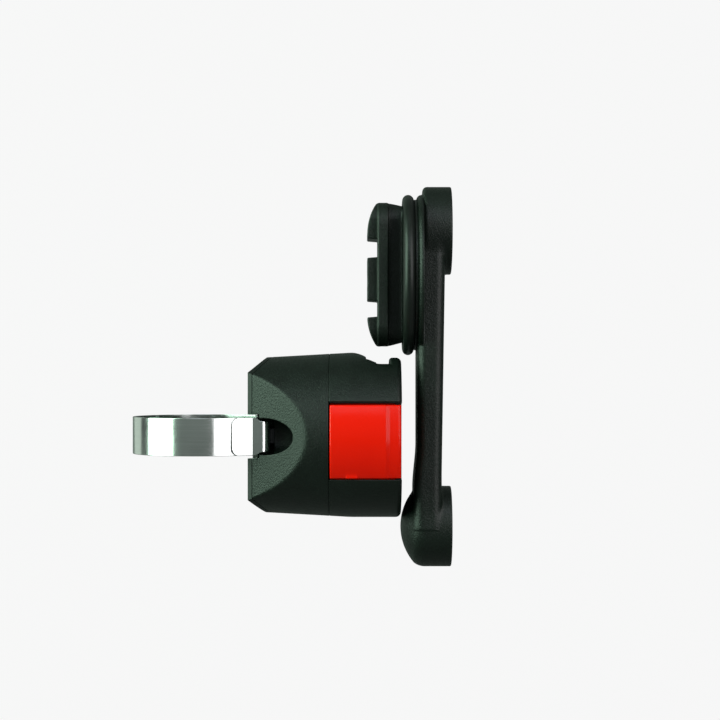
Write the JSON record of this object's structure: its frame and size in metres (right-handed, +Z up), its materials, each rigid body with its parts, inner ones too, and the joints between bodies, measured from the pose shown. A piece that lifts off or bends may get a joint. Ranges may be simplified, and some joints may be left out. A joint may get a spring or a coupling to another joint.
{
  "type": "quick-release bottle cage mount",
  "caption": "Quick-release bottle cage mount: band-clamped tube bracket with a T-slot and push button, and a hook plate on a cage arm that slides in and locks",
  "frame": {"origin": "on the axis of the clamped tube, at the height of the bracket's own axis", "axes": "+X away from the tube along the bracket, +Z up along the tube, -Y the side with the release button"},
  "size_m": [0.0689, 0.0355, 0.0822],
  "materials": {
    "black_nylon": "fine moulded grain",
    "red_button": "gloss",
    "stainless_band": "bright",
    "dark_steel": "black oxide",
    "zinc_screw": "zinc plated",
    "spring_steel": "satin",
    "liner_rubber": "matte",
    "ring_rubber": "satin",
    "brass_insert": "satin"
  },
  "bodies": {
    "bracket": {"rear_base": "black_nylon", "saddle_liner": "liner_rubber", "front_housing": "black_nylon", "steel_band": "stainless_band", "band_pin_near": "dark_steel", "band_pin_far": "dark_steel", "tension_yoke": "dark_steel", "tension_screw": "zinc_screw", "tension_washer": "zinc_screw", "housing_screw_upper": "zinc_screw", "housing_screw_lower": "zinc_screw", "latch_leaf": "spring_steel", "latch_screw": "zinc_screw", "button_spring": "spring_steel"},
    "button": {"release_button": "red_button"},
    "adapter": {"hook_plate": "black_nylon", "damper_ring": "ring_rubber", "cage_arm": "black_nylon", "plate_screw_near": "zinc_screw", "plate_screw_far": "zinc_screw", "insert_upper": "brass_insert", "insert_lower": "brass_insert"}
  },
  "joints": [
    {"name": "adapter_slide", "type": "slide", "parent": "bracket", "child": "adapter", "axis": [0, 0, 1], "range_m": [-0.0346, 0], "deforming": ["latch_leaf"]},
    {"name": "button_press", "type": "slide", "parent": "bracket", "child": "button", "axis": [0, 1, 0], "range_m": [0, 0.0025], "stiffness_N_per_m": 800, "springref_m": -0.001, "deforming": ["button_spring", "latch_leaf"]}
  ]
}
